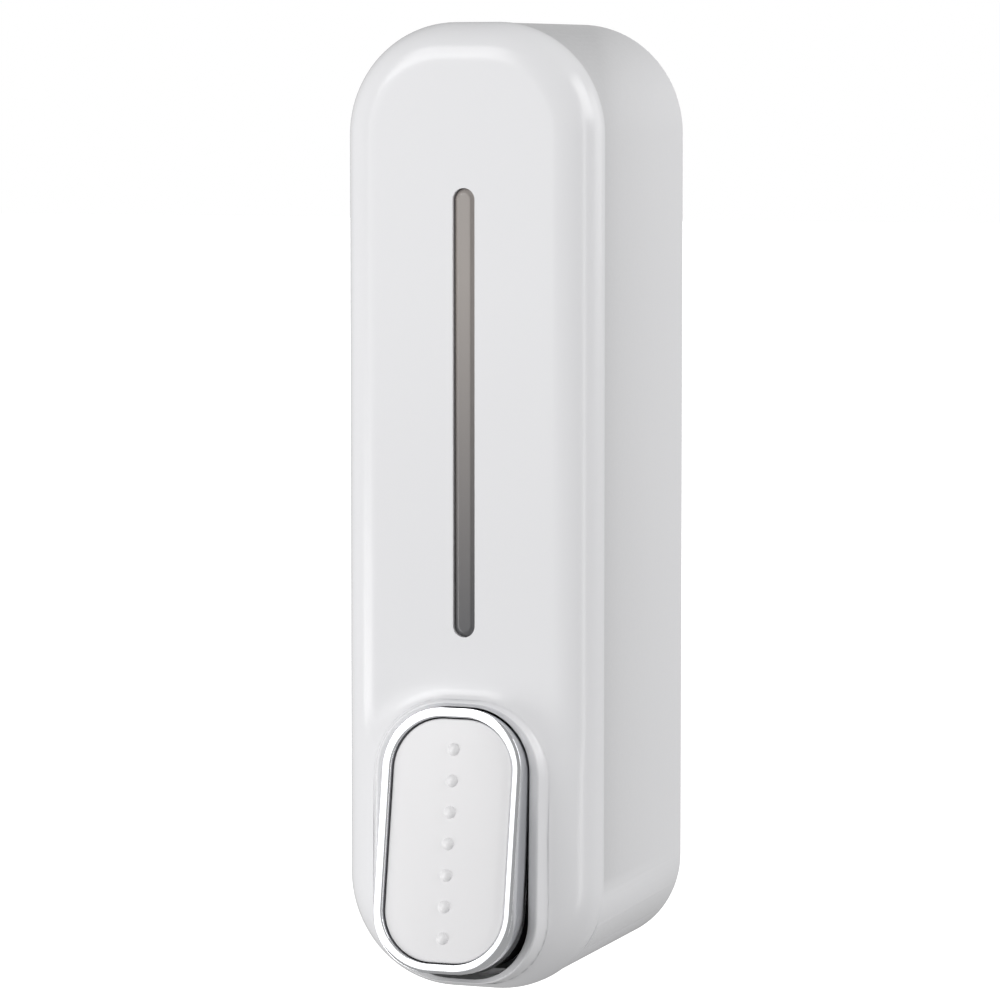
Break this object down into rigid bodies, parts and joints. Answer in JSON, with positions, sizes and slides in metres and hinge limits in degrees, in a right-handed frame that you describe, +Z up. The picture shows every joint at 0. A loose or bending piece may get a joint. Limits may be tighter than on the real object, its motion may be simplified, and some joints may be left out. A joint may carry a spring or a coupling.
{
  "type": "wall mounted soap dispenser",
  "caption": "Wall mounted soap dispenser with a tall rounded cover, a narrow level window and a leaning push button in a chrome rim that works a piston pump.",
  "frame": {"origin": "middle of the back plate's rear face, on the wall plane", "axes": "+Y into the wall, -Y out towards the user, +Z up, +X to the right as seen from the front"},
  "size_m": [0.0598, 0.0782, 0.215],
  "materials": {
    "gloss_white_abs": "gloss",
    "satin_white_abs": "satin",
    "chrome_plating": "polished",
    "smoky_polycarbonate": "gloss",
    "grey_frame_abs": "satin",
    "matte_white_abs": "matte",
    "black_abs": "matte",
    "milky_polyethylene": "satin",
    "pale_lid_polypropylene": "satin",
    "pump_acetal": "satin",
    "piston_acetal": "satin",
    "black_rubber": "matte",
    "clear_silicone": "matte",
    "stainless_steel": "satin"
  },
  "bodies": {
    "bracket": {"back_plate": "matte_white_abs", "pump_body": "pump_acetal", "cylinder_cap": "piston_acetal", "inlet_seat": "piston_acetal", "nozzle": "piston_acetal", "nozzle_seal": "black_rubber", "inlet_grommet": "black_rubber", "pump_screw_lower_left": "stainless_steel", "pump_screw_upper_left": "stainless_steel", "pump_screw_lower_right": "stainless_steel", "pump_screw_upper_right": "stainless_steel", "return_spring": "stainless_steel", "outlet_spring": "stainless_steel"},
    "cover": {"front_cover": "gloss_white_abs", "window_lens": "smoky_polycarbonate", "lens_frame": "grey_frame_abs", "lens_screw_lower": "stainless_steel", "lens_screw_upper": "stainless_steel", "button_hinge_pin": "stainless_steel"},
    "button": {"button_bezel": "chrome_plating", "button_pad": "satin_white_abs", "button_carrier": "black_abs", "button_screw_upper": "stainless_steel", "button_screw_lower": "stainless_steel"},
    "plunger": {"piston": "piston_acetal", "piston_seal": "black_rubber", "plunger_cap": "pump_acetal"},
    "inlet_ball": {"inlet_ball": "stainless_steel"},
    "outlet_ball": {"outlet_ball": "stainless_steel"},
    "bottle": {"reservoir": "milky_polyethylene"},
    "lid": {"reservoir_lid": "pale_lid_polypropylene", "lid_gasket": "clear_silicone"}
  },
  "joints": [
    {"name": "cover_pull", "type": "slide", "parent": "bracket", "child": "cover", "axis": [0, -1, 0], "range_m": [0, 0.07]},
    {"name": "button_press", "type": "hinge", "parent": "cover", "child": "button", "pos_m": [0, -0.057, -0.04], "axis": [1, 0, 0], "range_deg": [0, 8], "stiffness_Nm_per_rad": 2, "springref_deg": -5.73},
    {"name": "piston_stroke", "type": "slide", "parent": "bracket", "child": "plunger", "axis": [0, 1, 0], "range_m": [0, 0.0042], "deforming": ["return_spring"]},
    {"name": "inlet_ball_lift", "type": "slide", "parent": "bracket", "child": "inlet_ball", "axis": [0, 0, 1], "range_m": [0, 0.0013]},
    {"name": "outlet_ball_drop", "type": "slide", "parent": "bracket", "child": "outlet_ball", "axis": [0, 0, -1], "range_m": [0, 0.0015], "stiffness_N_per_m": 60, "springref_m": -0.002, "deforming": ["outlet_spring"]},
    {"name": "bottle_lift", "type": "slide", "parent": "bracket", "child": "bottle", "axis": [0, 0, 1], "range_m": [0, 0.006]},
    {"name": "lid_lift", "type": "slide", "parent": "bottle", "child": "lid", "axis": [0, 0, 1], "range_m": [0, 0.005]}
  ],
  "couplings": [
    {"joint": "piston_stroke", "follows": "button_press", "m_per_rad": 0.03}
  ]
}
